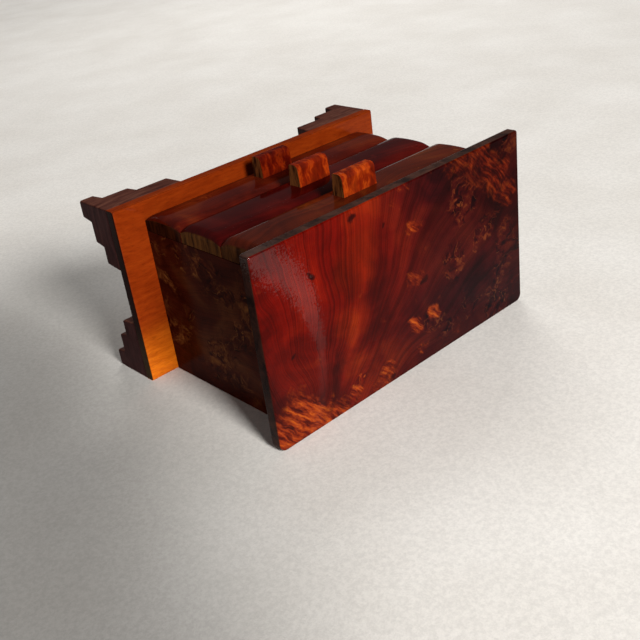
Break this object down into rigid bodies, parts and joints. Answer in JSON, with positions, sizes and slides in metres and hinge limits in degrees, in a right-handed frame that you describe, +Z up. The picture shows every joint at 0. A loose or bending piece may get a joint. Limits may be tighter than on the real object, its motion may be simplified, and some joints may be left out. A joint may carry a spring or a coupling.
{
  "type": "three-drawer puzzle box",
  "caption": "Small burl-wood chest with bowed drawers that pull out by tabs, on a plinth with stepped bracket feet, with a sliding wooden lock under the plinth.",
  "frame": {"origin": "on the ground, below the middle of the chest's box, which the top plate's back and the drawer pulls' tips bound", "axes": "+Z up, drawers open towards -Y, +X to the right as seen from the front, along the top plate's length"},
  "size_m": [0.2, 0.114, 0.1508],
  "materials": {
    "top_burl": "high-gloss lacquered burl, deep cherry red with orange flecks",
    "side_burl": "high-gloss lacquered dark red-brown burl",
    "front_burl": "high-gloss lacquered red-brown burl",
    "pull_burl": "gloss lacquered bright orange burl",
    "plinth_wood": "satin-gloss honey-orange wood, straight grain along the width",
    "foot_wood": "satin dark plum-brown wood",
    "inner_wood": "smooth sanded plain wood, unlacquered",
    "lock_wood": "smooth waxed wood"
  },
  "bodies": {
    "case": {"top_plate": "top_burl", "plinth_board": "plinth_wood", "side_panel_left": "side_burl", "side_panel_right": "side_burl", "back_panel": "side_burl", "lower_divider": "inner_wood", "upper_divider": "inner_wood", "top_rail": "front_burl", "front_left_foot_front_bracket": "foot_wood", "front_left_foot_side_bracket": "foot_wood", "front_left_foot_glue_block": "inner_wood", "back_left_foot_back_bracket": "foot_wood", "back_left_foot_side_bracket": "foot_wood", "back_left_foot_glue_block": "inner_wood", "front_right_foot_front_bracket": "foot_wood", "front_right_foot_side_bracket": "foot_wood", "front_right_foot_glue_block": "inner_wood", "back_right_foot_back_bracket": "foot_wood", "back_right_foot_side_bracket": "foot_wood", "back_right_foot_glue_block": "inner_wood", "lock_guide_front": "inner_wood", "lock_guide_back": "inner_wood"},
    "bottom_drawer": {"bottom_drawer_front": "front_burl", "bottom_drawer_left_side": "inner_wood", "bottom_drawer_right_side": "inner_wood", "bottom_drawer_back": "inner_wood", "bottom_drawer_bottom": "inner_wood", "bottom_drawer_pull": "pull_burl"},
    "middle_drawer": {"middle_drawer_front": "front_burl", "middle_drawer_left_side": "inner_wood", "middle_drawer_right_side": "inner_wood", "middle_drawer_back": "inner_wood", "middle_drawer_bottom": "inner_wood", "middle_drawer_pull": "pull_burl"},
    "top_drawer": {"top_drawer_front": "front_burl", "top_drawer_left_side": "inner_wood", "top_drawer_right_side": "inner_wood", "top_drawer_back": "inner_wood", "top_drawer_bottom": "inner_wood", "top_drawer_pull": "pull_burl"},
    "lock": {"lock_bar": "lock_wood", "lock_peg": "lock_wood"}
  },
  "joints": [
    {"name": "bottom_drawer_slide", "type": "slide", "parent": "case", "child": "bottom_drawer", "axis": [0, -1, 0], "range_m": [0, 0.07]},
    {"name": "middle_drawer_slide", "type": "slide", "parent": "case", "child": "middle_drawer", "axis": [0, -1, 0], "range_m": [0, 0.07]},
    {"name": "top_drawer_slide", "type": "slide", "parent": "case", "child": "top_drawer", "axis": [0, -1, 0], "range_m": [0, 0.07]},
    {"name": "lock_slide", "type": "slide", "parent": "case", "child": "lock", "axis": [-1, 0, 0], "range_m": [0, 0.012]}
  ]
}
